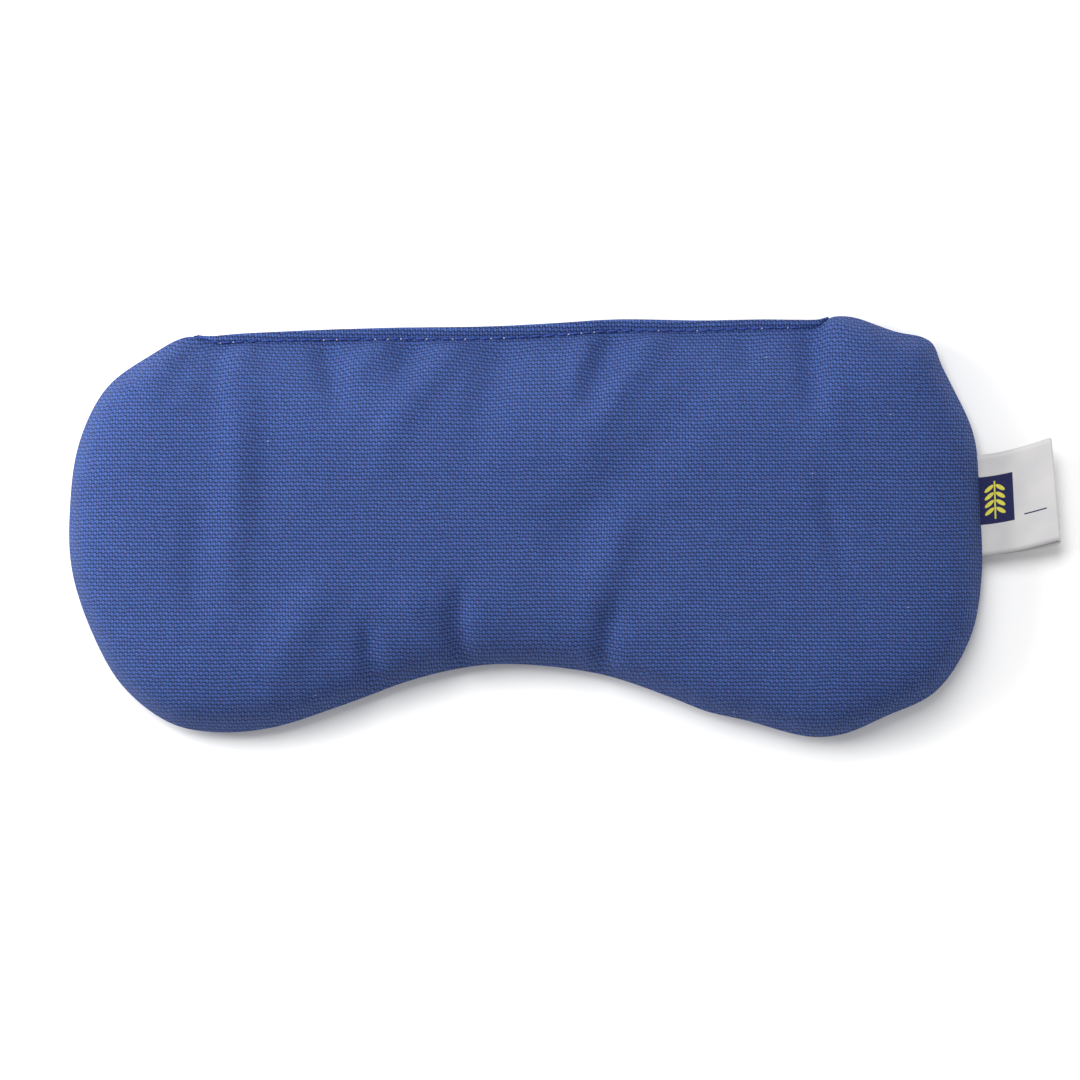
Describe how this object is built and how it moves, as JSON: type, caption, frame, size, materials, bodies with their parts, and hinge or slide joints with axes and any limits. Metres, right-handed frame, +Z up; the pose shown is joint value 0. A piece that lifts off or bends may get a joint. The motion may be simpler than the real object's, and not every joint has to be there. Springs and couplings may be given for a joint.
{
  "type": "eye pillow",
  "caption": "Mask-shaped weighted eye pillow: a canvas cover closed by a topstitched edge, a seed-filled inner bag and a folded ribbon label that flexes at the side seam.",
  "frame": {"origin": "centre of the flat underside that the pillow lies on", "axes": "+X along the length towards the label, +Y towards the straight topstitched edge, +Z up out of the surface"},
  "size_m": [0.2606, 0.1079, 0.025],
  "materials": {
    "cover_cloth": "blue cotton canvas",
    "cover_thread": "dark blue sewing thread",
    "pale_thread": "pale grey sewing thread",
    "label_satin": "white satin ribbon",
    "bag_cloth": "unbleached cotton lining",
    "seeds": "glossy brown flax seed"
  },
  "bodies": {
    "pillow": {"cover_top_panel": "cover_cloth", "cover_bottom_panel": "cover_cloth", "side_seam_needle_thread": "cover_thread", "side_seam_bobbin_thread": "pale_thread", "closing_seam_needle_thread": "cover_thread", "closing_seam_bobbin_thread": "pale_thread", "label_sewn_ends": "label_satin", "inner_bag_top_panel": "bag_cloth", "inner_bag_bottom_panel": "bag_cloth", "inner_bag_needle_thread": "pale_thread", "inner_bag_bobbin_thread": "pale_thread", "seed_filling": "seeds"},
    "label": {"label_loop": "label_satin"}
  },
  "joints": [
    {"name": "label_flex", "type": "hinge", "parent": "pillow", "child": "label", "pos_m": [0.11953, 0.00655, 0.009], "axis": [0.0932, -0.9956, 0], "range_deg": [-20, 65], "stiffness_Nm_per_rad": 0.001}
  ]
}
